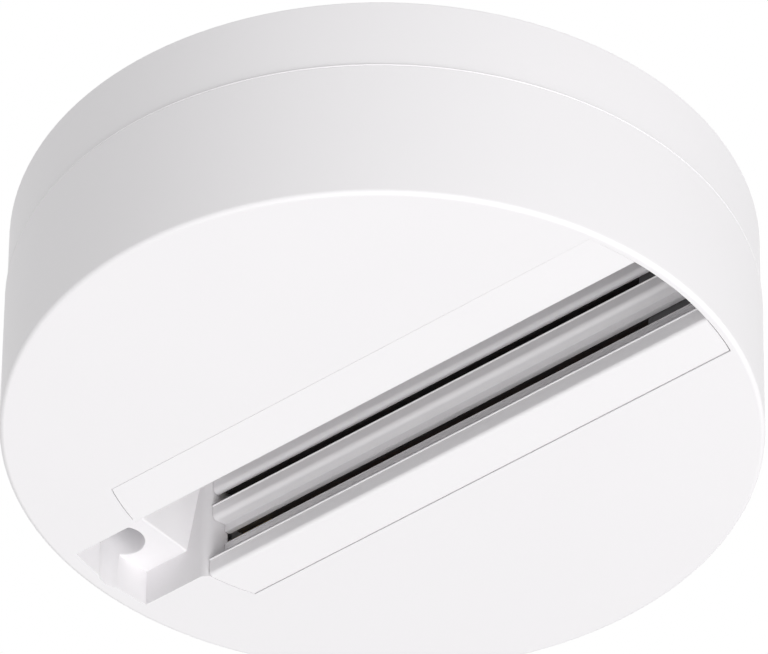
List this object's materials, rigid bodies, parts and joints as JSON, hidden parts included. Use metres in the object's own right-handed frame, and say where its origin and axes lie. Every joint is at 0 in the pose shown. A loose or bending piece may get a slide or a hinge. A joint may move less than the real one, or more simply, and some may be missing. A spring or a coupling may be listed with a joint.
{
  "type": "track light ceiling canopy",
  "caption": "Round white surface-mounted ceiling canopy that holds a short length of three-circuit lighting track, with a moulded end pocket, for one track adapter",
  "frame": {"origin": "middle of the slotted face, on its plane", "axes": "X along the slot from the end pocket to the plugged end, Y across the slot, Z from the slotted face up to the ceiling"},
  "size_m": [0.125, 0.125, 0.0405],
  "materials": {
    "white_plastic": "fine satin moulding",
    "white_painted_aluminium": "white powder coat on an aluminium extrusion",
    "black_plastic": "matt extruded insulation",
    "grey_plastic": "matt moulding",
    "terminal_plastic": "satin moulding",
    "copper": "drawn copper strip",
    "brass": "plain turned or pressed brass",
    "screw_steel": "zinc-plated steel",
    "black_rubber": "matt moulded rubber"
  },
  "bodies": {
    "root": {"ceiling_base": "white_plastic", "cover": "white_plastic", "track_profile": "white_painted_aluminium", "upper_near_insulator": "black_plastic", "lower_near_insulator": "black_plastic", "upper_far_insulator": "black_plastic", "lower_far_insulator": "black_plastic", "upper_near_conductor": "copper", "lower_near_conductor": "copper", "upper_far_conductor": "copper", "lower_far_conductor": "copper", "upper_end_plugs": "grey_plastic", "lower_end_plugs": "grey_plastic", "feed_block": "terminal_plastic", "upper_near_contact": "brass", "lower_near_contact": "brass", "upper_far_contact": "brass", "lower_far_contact": "brass", "terminal_screws": "screw_steel", "feed_block_screws": "screw_steel", "track_screws": "screw_steel", "track_inserts": "brass", "cover_screw": "screw_steel", "cover_insert": "brass", "cable_grommet": "black_rubber", "earth_screw": "screw_steel", "earth_clamp": "brass", "earth_nut": "screw_steel"}
  },
  "joints": []
}
